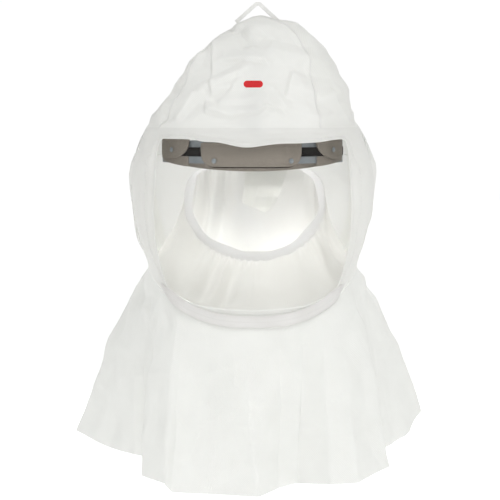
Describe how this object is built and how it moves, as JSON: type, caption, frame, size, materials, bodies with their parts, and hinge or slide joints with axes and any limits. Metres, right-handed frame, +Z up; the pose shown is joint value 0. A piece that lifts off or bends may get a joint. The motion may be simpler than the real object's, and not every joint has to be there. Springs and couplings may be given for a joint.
{
  "type": "respirator hood",
  "caption": "Loose white fabric hood with a wide clear visor, flared cape, neck seal, head suspension and rear air inlet, hung from a tape loop.",
  "frame": {"origin": "top of the hanging loop, where a hook holds the hood", "axes": "+Z up, -Y the way the face looks, +X the wearer's left"},
  "size_m": [0.384, 0.3682, 0.5052],
  "materials": {
    "white_fabric": "coated nonwoven, fine embossed grid",
    "clear_sheet": "clear flexible plastic sheet",
    "grey_plastic": "satin moulded",
    "dark_plastic": "satin moulded",
    "taupe_pad": "brushed foam-backed cloth",
    "elastic_band": "knitted elastic",
    "black_webbing": "woven tape",
    "rubber_seal": "smooth"
  },
  "bodies": {
    "hood": {"crown_patch": "white_fabric", "crown_front_panel": "white_fabric", "crown_left_panel": "white_fabric", "crown_right_panel": "white_fabric", "crown_back_panel": "white_fabric", "visor_surround": "white_fabric", "hood_left_panel": "white_fabric", "hood_right_panel": "white_fabric", "hood_back_panel": "white_fabric", "chin_lip": "white_fabric", "cape_front": "white_fabric", "cape_left_side": "white_fabric", "cape_right_side": "white_fabric", "cape_back": "white_fabric", "neck_seal": "white_fabric", "hang_loop": "white_fabric", "hood_tab_left": "white_fabric", "hood_tab_right": "white_fabric", "air_duct": "white_fabric", "inlet_flap": "white_fabric", "visor": "clear_sheet", "headband": "grey_plastic", "inlet_plenum": "grey_plastic", "inlet_elbow": "grey_plastic", "inlet_clamp_ring": "grey_plastic", "brow_rivet_left": "grey_plastic", "brow_rivet_right": "grey_plastic", "temple_rivet_left": "grey_plastic", "temple_rivet_right": "grey_plastic", "sweatband_liner": "taupe_pad", "brow_pad": "taupe_pad", "temple_pad_left": "taupe_pad", "temple_pad_right": "taupe_pad", "neck_seal_band": "elastic_band", "size_strap": "black_webbing", "inlet_seal": "rubber_seal"},
    "nape": {"nape_band": "grey_plastic", "nape_pad": "taupe_pad", "ratchet_housing": "dark_plastic"},
    "ratchet": {"ratchet_knob": "grey_plastic", "ratchet_pinion": "dark_plastic"},
    "crown_cradle": {"crown_strap_cross": "grey_plastic", "crown_strap_front": "grey_plastic", "crown_pad": "taupe_pad", "crown_peg_left": "dark_plastic", "crown_peg_right": "dark_plastic"},
    "tube_collar": {"inlet_collar": "dark_plastic"}
  },
  "joints": [
    {"name": "nape_slide", "type": "slide", "parent": "hood", "child": "nape", "axis": [0, 1, 0], "range_m": [-0.03, 0.006]},
    {"name": "ratchet_turn", "type": "hinge", "parent": "nape", "child": "ratchet", "pos_m": [-0.0058, 0.097, -0.1605], "axis": [0, 1, 0], "range_deg": [-215, 43]},
    {"name": "crown_height", "type": "slide", "parent": "hood", "child": "crown_cradle", "axis": [0, 0, 1], "range_m": [-0.004, 0.01]},
    {"name": "collar_turn", "type": "hinge", "parent": "hood", "child": "tube_collar", "pos_m": [-0.0058, 0.174, -0.262], "axis": [0, 0, 1], "continuous": true}
  ],
  "couplings": [
    {"joint": "ratchet_turn", "follows": "nape_slide", "rad_per_m": 125}
  ]
}
